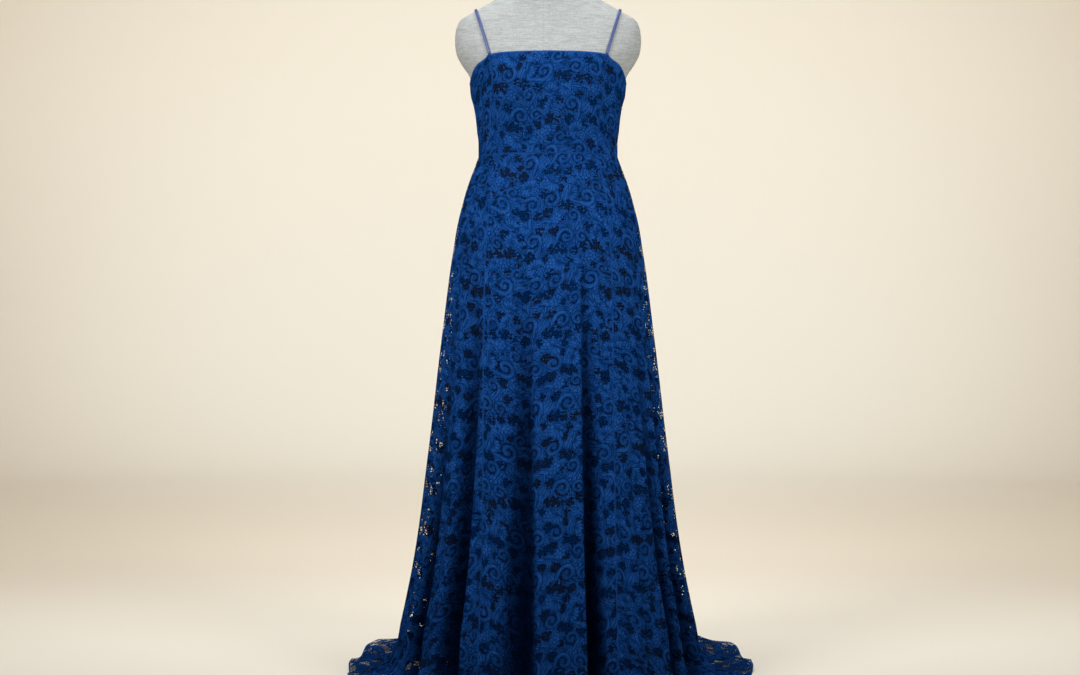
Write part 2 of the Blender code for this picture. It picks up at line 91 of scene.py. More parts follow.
FORM = table("height half_width front back square", [
    (0.8000, 0.1552, 0.1052, 0.1112, 1.00),
    (0.8060, 0.1632, 0.1112, 0.1182, 1.00),
    (0.8250, 0.1682, 0.1152, 0.1232, 1.00),
    (0.8800, 0.1722, 0.1182, 0.1282, 1.00),
    (0.9430, 0.1717, 0.1172, 0.1277, 1.00),
    (0.9930, 0.1672, 0.1132, 0.1242, 1.00),
    (1.0430, 0.1557, 0.1037, 0.1112, 1.00),
    (1.0680, 0.1472, 0.0972, 0.0997, 1.00),
    (1.0905, 0.1403, 0.0912, 0.0897, 1.00),
    (1.1180, 0.1403, 0.0907, 0.0872, 1.00),
    (1.1430, 0.1432, 0.0932, 0.0882, 1.00),
    (1.1680, 0.1457, 0.0972, 0.0907, 1.00),
    (1.1930, 0.1497, 0.1012, 0.0937, 1.00),
    (1.2180, 0.1562, 0.1042, 0.0967, 1.00),
    (1.2430, 0.1590, 0.1047, 0.0987, 1.00),
    (1.2600, 0.1646, 0.1031, 0.1001, 0.98),
    (1.2850, 0.1810, 0.0970, 0.1000, 0.94),
    (1.3080, 0.1915, 0.0890, 0.0980, 0.90),
    (1.3300, 0.1940, 0.0810, 0.0950, 0.88),
    (1.3520, 0.1925, 0.0730, 0.0900, 0.88),
    (1.3740, 0.1840, 0.0650, 0.0830, 0.90),
    (1.3930, 0.1530, 0.0590, 0.0750, 0.94),
    (1.4175, 0.1120, 0.0540, 0.0680, 0.98),
    (1.4380, 0.0770, 0.0520, 0.0630, 1.00),
    (1.4550, 0.0610, 0.0515, 0.0600, 1.00),
    (1.4970, 0.0550, 0.0500, 0.0570, 1.00),
])

# The lace skirt's outer line: the crests of its folds touch this shape
HANG = "height half_width front back"
SKIRT = table(HANG, [
    (1.0905, 0.1450, 0.0959, 0.0944),
    (1.0680, 0.1533, 0.1030, 0.1060),
    (1.0430, 0.1627, 0.1110, 0.1190),
    (1.0180, 0.1710, 0.1180, 0.1290),
    (0.9930, 0.1780, 0.1235, 0.1360),
    (0.9430, 0.1900, 0.1340, 0.1480),
    (0.8930, 0.1980, 0.1420, 0.1580),
    (0.8430, 0.2055, 0.1500, 0.1690),
    (0.7430, 0.2180, 0.1650, 0.1890),
    (0.6420, 0.2305, 0.1820, 0.2100),
    (0.5420, 0.2420, 0.1990, 0.2320),
    (0.4420, 0.2545, 0.2160, 0.2560),
    (0.3420, 0.2670, 0.2330, 0.2800),
    (0.2420, 0.2827, 0.2510, 0.3060),
    (0.1800, 0.2950, 0.2620, 0.3240),
    (0.1200, 0.3080, 0.2730, 0.3430),
])
SKIRT_ROWS = (
    1.0905, 1.066, 1.040, 1.010, 0.970, 0.925, 0.870,
    0.790, 0.690, 0.570, 0.440, 0.310, 0.200, 0.120,
)

# Below FLOOR_BEND the lace turns out on the floor: how far along its reach each row
# lies, how high a fold's crest and a trough stand there, and how deep troughs still are
Spread = namedtuple("Spread", "along crest trough depth")
TRAIN_ROWS = [
    Spread(0.08, 0.074, 0.056, 0.95),
    Spread(0.23, 0.043, 0.0125, 0.82),
    Spread(0.47, 0.029, 0.0012, 0.55),
    Spread(0.74, 0.020, 0.0012, 0.32),
    Spread(1.00, 0.0120, 0.0012, 0.14),
]

# How far the lace reaches along the floor beyond its hanging line
TRAIN = table("turn length", [
    (-180, 0.370),
    (-160, 0.345),
    (-145, 0.295),
    (-120, 0.180),
    (-105, 0.137),
    (-90, 0.110),
    (-62, 0.075),
    (-35, 0.042),
    (0, 0.035),
    (35, 0.042),
    (62, 0.075),
    (90, 0.117),
    (105, 0.150),
    (120, 0.196),
    (145, 0.315),
    (160, 0.355),
    (180, 0.370),
])

# The folds: the turn of each trough at the waist, knee and floor, where it starts, its
# depth at the floor, and its spread in degrees to either side
FOLD = "waist knee floor starts depth before after"
FOLDS = table(FOLD, [
    (-173, -170, -168, 0.93, 0.052, 11, 12),
    (-148, -147, -146, 0.88, 0.036, 9, 10),
    (-124, -123, -122, 0.94, 0.050, 10, 11),
    (-102, -101, -100, 0.84, 0.034, 9, 9),
    (-67, -61, -61, 0.86, 0.022, 7, 8),
    (-50, -41, -40.5, 0.9, 0.050, 8.5, 7),
    (-13, -11, -9, 0.9, 0.046, 12, 5.5),
    (22, 19, 17, 0.93, 0.060, 3.4, 7),
    (57, 55, 55, 0.92, 0.022, 4.5, 6),
    (70, 69, 68, 0.82, 0.046, 7, 8),
    (98, 98, 97, 0.86, 0.032, 9, 9),
    (121, 121, 120, 0.9, 0.042, 10, 10),
    (144, 143, 142, 0.94, 0.054, 11, 11),
    (168, 166, 165, 0.88, 0.040, 10, 9),
])
FOLD_GROWTH = 1.15

# Shallow creases between the folds
CREASES = table(FOLD, [
    (-176, -177, -178, 0.7, 0.007, 4, 5),
    (-160, -158, -157, 0.8, 0.010, 4.5, 5),
    (-136, -135, -134, 0.72, 0.011, 5, 4.5),
    (-112, -112, -111, 0.76, 0.009, 4, 5),
    (-90, -88, -87, 0.66, 0.008, 4, 4),
    (-80, -76, -75, 0.78, 0.009, 4, 3.5),
    (-58, -53, -52.5, 0.62, 0.006, 2.5, 3),
    (-38, -31, -30.5, 0.72, 0.007, 3, 4),
    (-28, -24, -23, 0.5, 0.005, 3, 2.5),
    (-3, 0, 0.5, 0.66, 0.007, 3.5, 4),
    (9, 7, 6.5, 0.44, 0.005, 2.5, 3),
    (33, 27, 24.5, 0.78, 0.009, 3, 3.5),
    (43, 34, 32.5, 0.58, 0.007, 3, 3),
    (50, 43, 41.5, 0.76, 0.010, 3.5, 4),
    (62, 61, 61, 0.6, 0.006, 2.5, 2.5),
    (80, 80, 79, 0.74, 0.009, 3.5, 4),
    (89, 88, 87.5, 0.56, 0.007, 3, 3),
    (109, 108, 108, 0.74, 0.010, 4.5, 4),
    (132, 131, 131, 0.7, 0.009, 4, 4.5),
    (156, 155, 154, 0.78, 0.010, 4.5, 4),
    (176, 175, 175, 0.64, 0.007, 4, 3.5),
])

# The side-front seam's turn at the top edge, bust, waist, knee and floor
Seam = namedtuple("Seam", "top bust waist knee floor")
SIDE_FRONT = Seam(38.0, 45.0, 44.0, 33.5, 26.4)
SIDE = 90
CENTRE_BACK = 180

# The lining skirt's outer line
LINING_SKIRT = table(HANG, [
    (1.0905, 0.1433, 0.0942, 0.0927),
    (1.0430, 0.1606, 0.1089, 0.1168),
    (0.9930, 0.1750, 0.1210, 0.1330),
    (0.9430, 0.1855, 0.1300, 0.1440),
    (0.8430, 0.1935, 0.1405, 0.1560),
    (0.7430, 0.2000, 0.1470, 0.1650),
    (0.5420, 0.2130, 0.1640, 0.1890),
    (0.3420, 0.2310, 0.1810, 0.2200),
    (0.1420, 0.2560, 0.1990, 0.2560),
    (0.0350, 0.2690, 0.2080, 0.2720),
])
LINING_SEAM = 50

# The bodice's top edge: its height round the body
TOP_EDGE = table("turn height", [
    (0, 1.2985),
    (22, 1.2972),
    (38, 1.2932),
    (44, 1.2841),
    (54, 1.2749),
    (64, 1.2646),
    (73, 1.2541),
    (82, 1.2455),
    (90, 1.2420),
    (112, 1.2375),
    (145, 1.2385),
    (180, 1.2400),
])

# The painted shade between folds: the depth at which it is full, how dark it is there, and
# the powers by which it grows with the depth and towards a trough's middle
FOLD_DARK_DEPTH = 0.015
FOLD_DARKEST = 0.93
FOLD_DEPTH_POWER = 0.8
FOLD_SHARE_POWER = 0.35

# The painted shade towards the hem: where it starts, how dark the hem is, and its growth
HEM_DARK_HEIGHT = 0.95
HEM_DARKEST = 0.56
HEM_POWER = 1.3

# Beside the side seams the holes are wider, by up to this many mm
SIDE_OPENING = 4.8
SIDE_OPEN_WIDTH = 0.030

# How far the repeat's rows and columns sway, and over what length
SWAY = (0.006, 0.011)
SWAY_LENGTH = (0.047, 0.038)

# Below the waist the patches of net grow by this many mm, over this drop
NET_GROWTH = 0.7
NET_GROWTH_DROP = 0.6

# How the repeat lies on each panel: how far it is moved across and down, and the share of
# the panel's width from which it runs, which is a side seam where two gores share it
MIDDLE = 0.5
Lay = namedtuple("Lay", "across down zero", defaults=[MIDDLE])
LAYS = {
    "skirt_side_front_right": Lay(0.030, 0.012, 0),
    "skirt_centre_front": Lay(0.000, 0.000),
    "skirt_side_front_left": Lay(0.118, 0.006, 1),
    "skirt_back_left": Lay(0.118, 0.006, 0),
    "skirt_back_right": Lay(0.030, 0.012, 1),
    "bodice_side_front_right": Lay(0.120, 0.070),
    "bodice_centre_front": Lay(0.088, 0.060),
    "bodice_side_front_left": Lay(0.040, 0.075),
    "bodice_back_left": Lay(0.010, 0.080),
    "bodice_back_right": Lay(0.100, 0.080),
}

# Mesh steps, that of the lining's turns in degrees; the form's mesh; and the points on
# which a gore is measured before its mesh is made
FRONT_STEP = 0.0024
BACK_STEP = 0.0037
BODICE_STEP = 0.0018
BODICE_LINING_STEP = 0.006
LINING_STEP = 0.012
LINING_TURN = 2
FORM_SIDES = 144
FORM_RINGS = 170
FINE_ROWS = 4000
FINE_COLUMNS = 600

# The lace's repeat, and how finely its distances are worked out
TILE_WIDE = 0.176
TILE_TALL = 0.168
TILE_STEP = 0.0005

# Motifs of the repeat: place and size in mm, turn in degrees, and the hand of a scroll or
# leaf, or else how many lobes there are; all but the leaves lie on top
Motif = namedtuple("Motif", "kind x y size turn variant top")
MOTIFS = {
    "scroll": [
        (32, 18, 17, 200, 1), (64, 20, 14, 340, -1), (140, 14, 16, 20, -1), (10, 102, 16, 330, 1),
        (84, 102, 18, 110, -1), (148, 106, 16, 250, 1), (108, 76, 14, 80, 1), (52, 144, 14, 40, -1),
    ],
    "blossom": [(80, 56, 13, 10, 7), (16, 144, 13, 30, 7), (174, 66, 12, 15, 6)],
    "fan": [
        (144, 70, 22, 260, 7), (98, 150, 20, 285, 6), (18, 66, 22, 120, 6),
        (98, 12, 20, 200, 6), (48, 96, 20, 20, 6), (130, 148, 18, 130, 5),
    ],
    "leaf": [
        (168, 6, 40, 130, 1), (66, 72, 38, 215, -1), (132, 96, 36, 300, -1),
        (104, 112, 38, 20, 1), (40, 164, 36, 330, -1), (166, 150, 38, 100, 1),
    ],
}

# Open patches of net in the solid cloth, each a bunch of round holes, in the same units
PATCHES = table("x y size lobes turn", [
    (6, 38, 10.0, 6, 10), (24, 45, 8.0, 5, 50), (45, 48, 7.5, 6, 0),
    (66, 40, 8.0, 5, 20), (90, 33, 10.0, 7, 80), (108, 39, 7.5, 5, 35),
    (132, 45, 10.0, 7, 15), (0, 128, 9.5, 6, 30),
    (30, 118, 7.5, 5, 70), (46, 124, 9.5, 7, 5), (72, 133, 8.5, 6, 25),
    (113, 117, 7.5, 5, 10), (130, 124, 10.0, 7, 40),
    (156, 132, 8.5, 6, 0), (28, 84, 8.0, 6, 0), (62, 87, 7.5, 5, 30),
    (88, 73, 6.5, 5, 10), (126, 90, 8.0, 6, 45), (172, 88, 8.0, 6, 0),
    (8, 2, 8.5, 6, 20), (82, 165, 8.0, 6, 15),
    (116, 2, 7.5, 5, 60), (156, 164, 8.0, 6, 30), (108, 58, 6.0, 4, 0),
    (38, 66, 6.5, 5, 50), (162, 56, 7.5, 5, 80),
    (112, 142, 6.0, 4, 40), (30, 150, 6.0, 5, 0), (80, 6, 6.0, 5, 30),
    (66, 108, 5.5, 4, 20), (122, 24, 5.5, 4, 0),
])

# What fills the plain cloth between them: how many small motifs at most, the gap round
# them, the least room for one and for a blossom, the longest leaf, how much longer than
# wide its room is, and the distance that stands for none, in mm
FILLS = 46
FILL_GAP = 1.2
LEAST_ROOM = 3.4
BLOSSOM_ROOM = 9
LONGEST_LEAF = 26
LEAF_ROOM = 3.1
FAR = 20.0


def smooth_curve(xs, ys):
    """A smooth curve through points that never swings past them."""
    xs = np.asarray(xs, float)
    ys = np.asarray(ys, float)
    step = np.diff(xs)
    slope = np.diff(ys) / step
    tangent = np.zeros_like(ys)
    one_way = slope[:-1] * slope[1:] > 0
    near = 2 * step[1:] + step[:-1]
    far = step[1:] + 2 * step[:-1]
    product = slope[:-1] * slope[1:]
    blend = near * slope[1:] + far * slope[:-1]
    tangent[1:-1] = np.where(one_way, (near + far) * product / np.where(one_way, blend, 1), 0)
    tangent[0] = slope[0]
    tangent[-1] = slope[-1]

    def at(x):
        x = np.clip(x, xs[0], xs[-1])
        i = np.clip(np.searchsorted(xs, x, side="right") - 1, 0, len(step) - 1)
        t = (x - xs[i]) / step[i]
        rise = ys[i] * (1 + 2 * t) * (1 - t) ** 2 + ys[i + 1] * t * t * (3 - 2 * t)
        bend = step[i] * (tangent[i] * t * (1 - t) ** 2 - tangent[i + 1] * t * t * (1 - t))
        return rise + bend

    return at


def columns_of(rows, key):
    """One smooth curve for each named column of a table, read at its key."""
    rows = sorted(rows, key=lambda row: getattr(row, key))
    keys = [getattr(row, key) for row in rows]
    names = [name for name in rows[0]._fields if name != key]
    return {name: smooth_curve(keys, [getattr(row, name) for row in rows]) for name in names}


form_line = columns_of(FORM, "height")
skirt_line = columns_of(SKIRT, "height")
lining_line = columns_of(LINING_SKIRT, "height")
train_reach = columns_of(TRAIN, "turn")["length"]
top_edge = columns_of(TOP_EDGE, "turn")["height"]


def from_front(turn):
    """A turn's size, 0 at the centre front to 180 at the centre back."""
    return np.abs((np.asarray(turn, float) + 180) % 360 - 180)


def oval(half_width, front, back, turn):
    """Points of a body section, deeper or flatter in front than behind."""
    angle = np.radians(turn)
    depth = np.where(np.cos(angle) > 0, front, back)
    return half_width * np.sin(angle), -depth * np.cos(angle)


def form_point(height, turn):
    """The form's surface at a height and turn."""
    square = form_line["square"](height)
    angle = np.radians(turn)
    sine = np.sign(np.sin(angle)) * np.abs(np.sin(angle)) ** square
    cosine = np.sign(np.cos(angle)) * np.abs(np.cos(angle)) ** square
    depth = np.where(cosine > 0, form_line["front"](height), form_line["back"](height))
    x = form_line["half_width"](height) * sine
    y = -depth * cosine
    level = np.exp(-(((height - BUST_HEIGHT) / BUST_TALL) ** 2))
    swell = np.exp(-(((np.abs(x) - BUST_X) / BUST_WIDE) ** 2)) * level
    return np.stack([x, y - BUST_SWELL * swell * np.clip(cosine * 2, 0, 1), height + 0 * x], axis=-1)


def outward(round_step, up_step):
    """Unit normals from small steps towards +X round the body and up it."""
    normal = np.cross(round_step, up_step)
    return normal / np.linalg.norm(normal, axis=-1, keepdims=True)


def form_normal(height, turn):
    """The unit normal of the form's surface."""
    round_step = form_point(height, turn + TURN_STEP) - form_point(height, turn - TURN_STEP)
    up_step = form_point(height + HEIGHT_STEP, turn) - form_point(height - HEIGHT_STEP, turn)
    return outward(round_step, up_step)


def lifted(height, turn, lift):
    """The form's surface moved out by a cloth's lift."""
    return form_point(height, turn) + lift * form_normal(height, turn)


def hang_turn(line, height):
    """The turn, at any height of the skirt, of a fold or seam that has named turns."""
    return np.interp(height, [FLOOR_BEND, KNEE, WAIST], [line.floor, line.knee, line.waist])


def trough(folds, turn, height):
    """How far into a trough a point is, 0 on a crest to 1, and its depth there."""
    share = np.zeros_like(turn, dtype=float)
    depth = np.zeros_like(share)
    for fold in folds:
        off = (turn - hang_turn(fold, height) + 180) % 360 - 180
        spread = np.where(off < 0, fold.before, fold.after)
        dip = np.cos(np.clip(off / spread, -1, 1) * math.pi / 2) ** 2
        grown = np.clip((fold.starts - height) / (fold.starts - FLOOR_BEND), 0, 1) ** FOLD_GROWTH
        share = share + dip * grown
        depth = depth + dip * grown * fold.depth
    return np.clip(share, 0, 1), depth


def train_curves():
    """How the skirt spreads in each row below the last hanging one."""
    rows = [Spread(0.0, FLOOR_BEND, FLOOR_BEND, 1.0)] + TRAIN_ROWS
    steps = range(len(rows))
    return {name: smooth_curve(steps, [getattr(row, name) for row in rows]) for name in Spread._fields}


train_curve = train_curves()
row_height = smooth_curve(range(len(SKIRT_ROWS)), SKIRT_ROWS)
LAST_HANGING = len(SKIRT_ROWS) - 1
LAST_ROW = LAST_HANGING + len(TRAIN_ROWS)


def skirt_point(turn, row):
    """The lace skirt's outer surface: rows run from the waist to the hem."""
    turn = np.asarray(turn, float)
    row = np.asarray(row, float) + 0 * turn
    on_floor = np.clip(row - LAST_HANGING, 0, None)
    height = np.where(on_floor > 0, FLOOR_BEND, row_height(row))
    half = skirt_line["half_width"](height)
    front = skirt_line["front"](height)
    back = skirt_line["back"](height)
    x, y = oval(half, front, back, turn)
    angle = np.radians(turn)
    depth_here = np.where(np.cos(angle) > 0, front, back)
    out_x = np.sin(angle) / half
    out_y = -np.cos(angle) / depth_here
    length = np.hypot(out_x, out_y)
    out_x, out_y = out_x / length, out_y / length
    share, depth = trough(FOLDS, turn, height)
    crease = trough(CREASES, turn, height)[1]
    reach = train_reach((turn + 180) % 360 - 180)
    depth = (depth + crease) * train_curve["depth"](on_floor)
    move = reach * train_curve["along"](on_floor) - depth
    crest = train_curve["crest"](on_floor)
    low = train_curve["trough"](on_floor)
    z = np.where(on_floor > 0, crest + (low - crest) * share, height)
    return np.stack([x + out_x * move, y + out_y * move, z], axis=-1)


def track(floor_turn, height):
    """The turn at any height of a column, which the seams and folds beside it carry."""
    lines = [SIDE_FRONT] + FOLDS
    knots = [(line.floor, line.knee, line.waist) for line in lines]
    knots += [tuple(-turn for turn in knots[0])]
    knots += [(turn, turn, turn) for turn in (-CENTRE_BACK, -SIDE, 0, SIDE, CENTRE_BACK)]
    floors, knees, waists = (np.array(turns) for turns in zip(*sorted(knots)))
    knee = np.interp(floor_turn, floors, knees)
    waist = np.interp(floor_turn, floors, waists)
    low = floor_turn + (knee - floor_turn) * (height - FLOOR_BEND) / (KNEE - FLOOR_BEND)
    high = knee + (waist - knee) * (height - KNEE) / (WAIST - KNEE)
    return np.where(height < KNEE, low, high)


def part_seams(turn, half_width):
    """Draws a panel's first and last columns back by half a seam gap each."""
    nudge = np.degrees(SEAM_GAP / 2 / half_width).reshape(-1)
    turn[:, 0] += nudge
    turn[:, -1] -= nudge


def panel_turns(name, front):
    """The turns between which each lace panel lies; front is the side-front seam's."""
    return {
        name + "_side_front_right": (-SIDE, -front),
        name + "_centre_front": (-front, front),
        name + "_side_front_left": (front, SIDE),
        name + "_back_left": (SIDE, CENTRE_BACK),
        name + "_back_right": (-CENTRE_BACK, -SIDE),
    }


def bodice_track(turn, height):
    """The turn at any height of a column: in front it follows the side-front seam."""
    heights = [WAIST, BUST_HEIGHT, TOP_EDGE[0].height]
    seam = smooth_curve(heights, [SIDE_FRONT.waist, SIDE_FRONT.bust, SIDE_FRONT.top])(height)
    size = np.abs(turn)
    centre = size / SIDE_FRONT.waist * seam
    side = seam + (size - SIDE_FRONT.waist) / (SIDE - SIDE_FRONT.waist) * (SIDE - seam)
    return np.sign(turn) * np.where(size <= SIDE_FRONT.waist, centre, np.where(size <= SIDE, side, size))


# Rounds after which a bodice point's height and turn, each found from the other, agree
SETTLING_ROUNDS = 4


def bodice_grid(start, end, lift, step):
    """Points of a bodice panel between two seams, its rows from waist to top edge."""
    foot = WAIST + SEAM_GAP
    rows = np.linspace(0, 1, 2 + int((TOP_EDGE[0].height - foot) / step))[:, None]
    width = math.radians(end - start) * form_line["half_width"](BUST_HEIGHT)
    columns = np.linspace(start, end, 2 + int(width / step))[None, :] + 0 * rows
    turn = columns
    for _ in range(SETTLING_ROUNDS):
        height = foot + (top_edge(from_front(turn)) - foot) * rows
        turn = bodice_track(columns, height)
    part_seams(turn, form_line["half_width"](height[:, 0]))
    points = lifted(height, turn, lift)
    points[..., 2] = height
    return points


def turn_at(x, height, in_front):
    """The turn, in size, at which the form is x wide at a height."""
    ratio = np.clip(np.abs(x) / form_line["half_width"](height), 0, 1)
    turn = np.degrees(np.arcsin(ratio ** (1 / form_line["square"](height))))
    return np.where(in_front, turn, 180 - turn)


def strap_route(side):
    """Points under a strap's middle, over the shoulder, with the form's normals."""
    low_front = float(top_edge(SIDE_FRONT.top)) + STRAP_GAP
    low_back = float(top_edge(STRAP_BACK_TURN)) + STRAP_GAP
    heights = np.linspace(*SHOULDER_SLOPE, 601)
    widths = form_line["half_width"](heights)
    ridge = float(heights[np.argmin(np.abs(widths - STRAP_SHOULDER_X))])
    points, normals = [], []
    legs = [(low_front, STRAP_FRONT_X, 1), (low_back, STRAP_BACK_X, -1)]
    for low, low_x, facing in legs:
        rise = np.sin(np.linspace(0, math.pi / 2, STRAP_STEPS))
        if facing < 0:
            rise = rise[::-1][1:]
        height = low + (ridge - low) * rise
        x = low_x + (STRAP_SHOULDER_X - low_x) * rise
        turn = side * turn_at(x, height, facing > 0)
        points.append(form_point(height, turn))
        normals.append(form_normal(height, turn))
    return np.concatenate(points), np.concatenate(normals)


def leaf(motif, x, y):
    """A curved pointed leaf that grows along +x, with its midrib."""
    t = np.clip(x / motif.size, 0, 1)
    bend, half = 0.22 * motif.size, 0.19 * motif.size
    y = y - motif.variant * bend * np.sin(t * math.pi)
    width = half * np.sin(math.pi * t ** 0.75) ** 0.8
    beyond = np.maximum(-x, x - motif.size)
    return np.where(beyond > 0, -np.hypot(beyond, y), width - np.abs(y)), y


def blossom(motif, x, y):
    """Round petals about a middle."""
    r, a = np.hypot(x, y), np.arctan2(y, x)
    wave = np.abs(np.cos(a * motif.variant / 2)) ** 0.7
    rays = np.cos(a * motif.variant / 2) * r * 2 / motif.variant
    core = 0.30 * motif.size
    return motif.size * (0.66 + 0.34 * wave) - r, np.where(r > core + 0.6, rays, r - core)


def fan(motif, x, y):
    """A shell of petals that opens along +x."""
    r, a = np.hypot(x, y), np.arctan2(y, x)
    spread = math.radians(78)
    lobe = np.cos(a / spread * motif.variant * math.pi / 2)
    edge = motif.size * (0.70 + 0.30 * np.abs(lobe) ** 0.7)
    edge = edge * np.clip(1.25 - (a / spread) ** 2 * 0.5, 0, 1)
    side = (spread - np.abs(a)) * r
    inside = np.minimum(edge - r, np.where(np.abs(a) < spread + 1.2, side, -r))
    return inside, lobe * r * spread * 2 / (motif.variant * math.pi)


def scroll(motif, x, y):
    """A band that winds in to a volute round a berry, with a tail that leaves it."""
    size = motif.size
    windings, tightened = math.radians(430), 0.78
    wind = np.linspace(0, 1, 120)
    angle = wind * windings
    radius = size * (1 - tightened * wind ** 0.9)
    tail = np.linspace(0, 1, 60)[1:]
    line_x = np.append(radius * np.cos(angle), size * (1 + 0.35 * tail ** 2))
    line_y = motif.variant * np.append(radius * np.sin(angle), -size * 1.7 * tail)
    half = np.append(size * (0.28 - 0.11 * wind), size * 0.28 * (1 - tail) ** 0.6)
    inside = 0.20 * size - np.hypot(x, y)
    for at_x, at_y, width in zip(line_x, line_y, half):
        inside = np.maximum(inside, width - np.hypot(x - at_x, y - at_y))
    return inside, np.full(np.shape(x), FAR)


def bud(motif, x, y):
    """A small drop with a round eye."""
    r, a = np.hypot(x, y), np.arctan2(y, x)
    return motif.size * (0.72 + 0.28 * np.cos(a)) - r, r - 0.42 * motif.size


SHAPES = {"leaf": leaf, "blossom": blossom, "fan": fan, "scroll": scroll, "bud": bud}


class Chart:
    """The lace's repeat, in signed distances: inside its motifs, their lines, and the net."""

    def __init__(self):
        self.step = TILE_STEP * 1000
        self.shape = round(TILE_TALL / TILE_STEP), round(TILE_WIDE / TILE_STEP)
        self.low = np.full(self.shape, -FAR)
        self.top = np.full(self.shape, -FAR)
        self.ink = np.full(self.shape, FAR)
        self.net = np.full(self.shape, -FAR)
        for patch in PATCHES:
            self.open(patch)
        for kind, rows in MOTIFS.items():
            for row in rows:
                self.put(Motif(kind, *row, kind != "leaf"))
        for count in range(FILLS):
            self.fill(count)

    def window(self, x, y, reach, turn):
        """The chart's points near a place, round its edges, and where they lie from it."""
        steps = np.arange(-int(reach / self.step), int(reach / self.step) + 1)
        columns = round(x / self.step) + steps
        rows = round(y / self.step) + steps
        off_x, off_y = np.meshgrid(columns * self.step - x, rows * self.step - y)
        turn = math.radians(turn)
        along = off_x * math.cos(turn) + off_y * math.sin(turn)
        across = off_y * math.cos(turn) - off_x * math.sin(turn)
        return np.ix_(rows % self.shape[0], columns % self.shape[1]), along, across

    def open(self, patch):
        """Opens a bunch of round holes in the solid cloth."""
        at, along, across = self.window(patch.x, patch.y, 2.2 * patch.size, patch.turn)
        inside = 0.44 * patch.size - np.hypot(along, across)
        for lobe in range(patch.lobes):
            angle = 2 * math.pi * lobe / patch.lobes
            far = patch.size * (0.86 if lobe % 2 else 0.70)
            off = np.hypot(along - 1.15 * far * math.cos(angle), across - 0.9 * far * math.sin(angle))
            inside = np.maximum(inside, patch.size * (0.36 + 0.09 * (lobe % 3)) - off)
        self.net[at] = np.maximum(self.net[at], inside)

    def put(self, motif):
        """Adds one motif; a scroll opens a groove between its windings."""
        reach = motif.size * (2.3 if motif.kind == "scroll" else 1.4) + 8
        at, along, across = self.window(motif.x, motif.y, reach, motif.turn)
        inside, line = SHAPES[motif.kind](motif, along, across)
        layer = self.top if motif.top else self.low
        shown = (inside > layer[at]) & (inside > 0)
        if not motif.top:
            shown &= self.top[at] <= 0
        self.ink[at] = np.where(shown, line, self.ink[at])
        layer[at] = np.maximum(layer[at], inside)
        if motif.kind == "scroll":
            groove = np.minimum(0.92 * motif.size - np.hypot(along, across), -inside - 0.1)
            self.net[at] = np.maximum(self.net[at], groove)
        if motif.top:
            self.net[at] = np.minimum(self.net[at], -inside)

    def clear_run(self, union, row, column, angle):
        """How far the plain cloth runs from a point along an angle, in mm."""
        run = 0
        while run < LONGEST_LEAF:
            at_row = int(row + run / self.step * math.sin(angle)) % self.shape[0]
            at_column = int(column + run / self.step * math.cos(angle)) % self.shape[1]
            if union[at_row, at_column] > -0.8 * FILL_GAP:
                break
            run += 1
        return run

    def fill(self, count):
        """Puts a small leaf, blossom or bud where the plain cloth is widest."""
        union = np.maximum(np.maximum(self.low, self.top), self.net)
        row, column = np.unravel_index(np.argmin(union), union.shape)
        room = -union[row, column]
        if room < LEAST_ROOM:
            return
        runs = {}
        for turn in range(0, 180, 15):
            ahead = self.clear_run(union, row, column, math.radians(turn))
            behind = self.clear_run(union, row, column, math.radians(turn + 180))
            runs[turn] = ahead + behind, behind
        turn = max(runs, key=lambda key: runs[key][0])
        length, behind = runs[turn]
        x, y = column * self.step, row * self.step
        if length > LEAF_ROOM * room:
            x -= behind * math.cos(math.radians(turn))
            y -= behind * math.sin(math.radians(turn))
            self.put(Motif("leaf", x, y, length, turn, (-1) ** count, False))
        elif room > BLOSSOM_ROOM:
            self.put(Motif("blossom", x, y, room - FILL_GAP, turn, 6, False))
        else:
            self.put(Motif("bud", x, y, room - 0.6 * FILL_GAP, turn + 180 * (count % 2), 1, False))

    def at(self, u, v):
        """The four distances at places of the cloth, between the chart's points."""
        x = u / TILE_STEP % self.shape[1]
        y = v / TILE_STEP % self.shape[0]
        column, row = np.floor(x).astype(int), np.floor(y).astype(int)
        right, up = x - column, y - row
        column, row = column % self.shape[1], row % self.shape[0]
        beyond, above = (column + 1) % self.shape[1], (row + 1) % self.shape[0]
        fields = []
        for field in (np.maximum(self.low, self.top), self.top, self.ink, self.net):
            low = field[row, column] * (1 - right) + field[row, beyond] * right
            high = field[above, column] * (1 - right) + field[above, beyond] * right
            fields.append(low * (1 - up) + high * up)
        return fields


chart = Chart()


